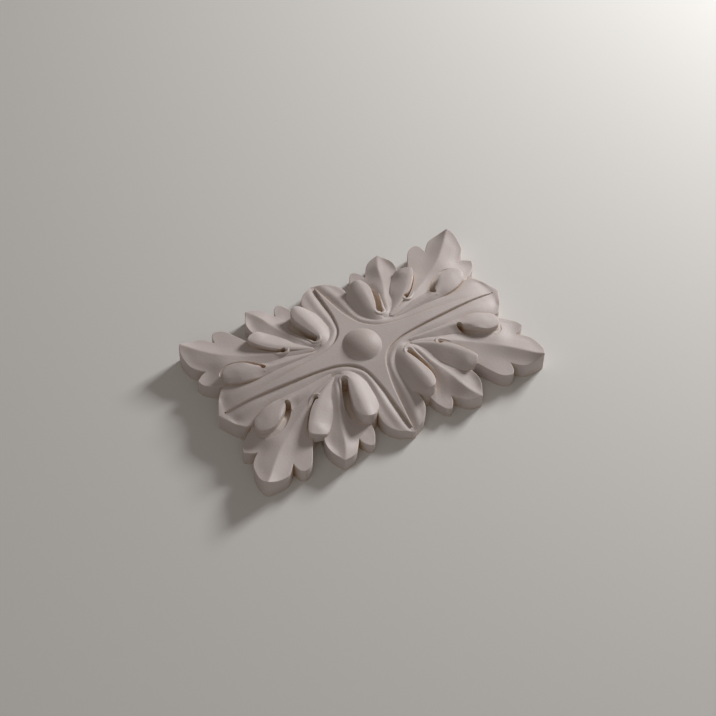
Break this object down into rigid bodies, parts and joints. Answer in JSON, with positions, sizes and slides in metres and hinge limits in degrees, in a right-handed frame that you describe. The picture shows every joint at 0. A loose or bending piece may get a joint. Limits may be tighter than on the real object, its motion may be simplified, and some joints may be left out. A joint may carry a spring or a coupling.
{
  "type": "acanthus ceiling rosette",
  "caption": "Rectangular cast ceiling rosette: acanthus leaves and rolled buds around a small domed boss, flat on the back.",
  "frame": {"origin": "centre of the flat back, in the plane of the back", "axes": "+Z out of the face, away from the ceiling it is glued to; +X along the long way; +Y along the short way"},
  "size_m": [0.2068, 0.1336, 0.027],
  "materials": {
    "moulded_resin": "matt ivory cast resin"
  },
  "bodies": {
    "root": {"rosette": "moulded_resin"}
  },
  "joints": []
}
